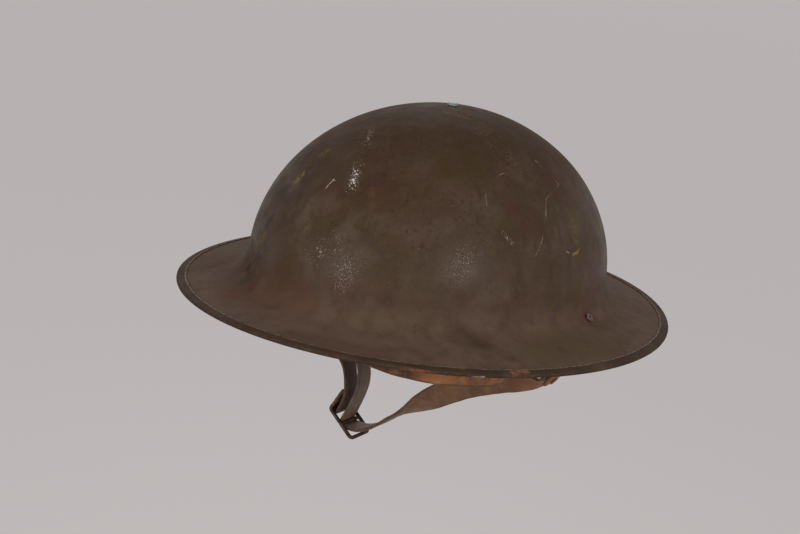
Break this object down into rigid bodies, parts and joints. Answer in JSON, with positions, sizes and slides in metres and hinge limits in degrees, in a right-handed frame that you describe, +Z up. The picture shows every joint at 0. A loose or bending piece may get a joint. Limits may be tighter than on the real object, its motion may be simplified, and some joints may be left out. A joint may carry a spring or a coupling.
{
  "type": "brodie helmet",
  "caption": "Shallow steel bowl helmet with a wide brim, riveted liner with headband and net, rubber bumpers, and a leather chin strap on swinging wire bails.",
  "frame": {"origin": "on the vertical axis through the crown rivet, at the level of the brim's edge, where the helmet is held by a head", "axes": "+X to the helmet's right side, +Y from front to back along the longer way of the oval, +Z up through the crown"},
  "size_m": [0.284, 0.316, 0.2208],
  "materials": {
    "shell_paint": "worn matt olive-brown paint over pressed steel",
    "rim_paint": "worn paint over a folded steel strip, rusty at the edge",
    "copper": "copper, dulled, with green verdigris",
    "felt": "pressed felt",
    "plain_steel": "dull steel",
    "oilcloth": "black oilcloth",
    "twine": "cotton twine",
    "cord": "braided cotton cord",
    "band_leather": "tan leather, darkened by wear",
    "hoop_leather": "brown leather strip",
    "rubber": "aged black rubber",
    "small_rivets": "dull steel",
    "side_rivet_paint": "painted tubular steel rivet",
    "wire": "dark steel wire",
    "strap_leather": "brown russet leather, dry and cracked",
    "strap_rivet": "dull brass",
    "buckle_metal": "dark tarnished steel wire"
  },
  "bodies": {
    "root": {"shell": "shell_paint", "rim": "rim_paint", "crown_rivet": "copper", "crown_pad": "felt", "crown_washer": "plain_steel", "liner_cap": "oilcloth", "head_net": "twine", "drawstring": "cord", "headband": "band_leather", "bumper_hoop": "hoop_leather", "bumpers": "rubber", "bumper_rivets": "small_rivets", "left_lug": "plain_steel", "right_lug": "plain_steel", "left_lug_rivet": "side_rivet_paint", "right_lug_rivet": "side_rivet_paint"},
    "left_bail": {"left_bail": "wire"},
    "right_bail": {"right_bail": "wire"},
    "strap_ends": {"left_strap_turn": "strap_leather", "right_strap_end": "strap_leather"},
    "chin_strap": {"chin_strap": "strap_leather", "strap_rivet": "strap_rivet", "buckle": "buckle_metal"}
  },
  "joints": [
    {"name": "left_bail_swing", "type": "hinge", "parent": "root", "child": "left_bail", "pos_m": [-0.09761, 0, 0.01538], "axis": [0, 1, 0], "range_deg": [-15, 15]},
    {"name": "right_bail_swing", "type": "hinge", "parent": "root", "child": "right_bail", "pos_m": [0.09761, 0, 0.01538], "axis": [0, 1, 0], "range_deg": [-15, 15]},
    {"name": "strap_level", "type": "hinge", "parent": "left_bail", "child": "strap_ends", "pos_m": [-0.09761, 0, 0.00138], "axis": [0, 1, 0], "range_deg": [-15, 15]},
    {"name": "chin_strap_swing", "type": "hinge", "parent": "strap_ends", "child": "chin_strap", "pos_m": [0, 0, 0.00138], "axis": [1, 0, 0], "range_deg": [-25, 35]}
  ],
  "couplings": [
    {"joint": "right_bail_swing", "follows": "left_bail_swing", "ratio": 1},
    {"joint": "strap_level", "follows": "left_bail_swing", "ratio": -1}
  ]
}
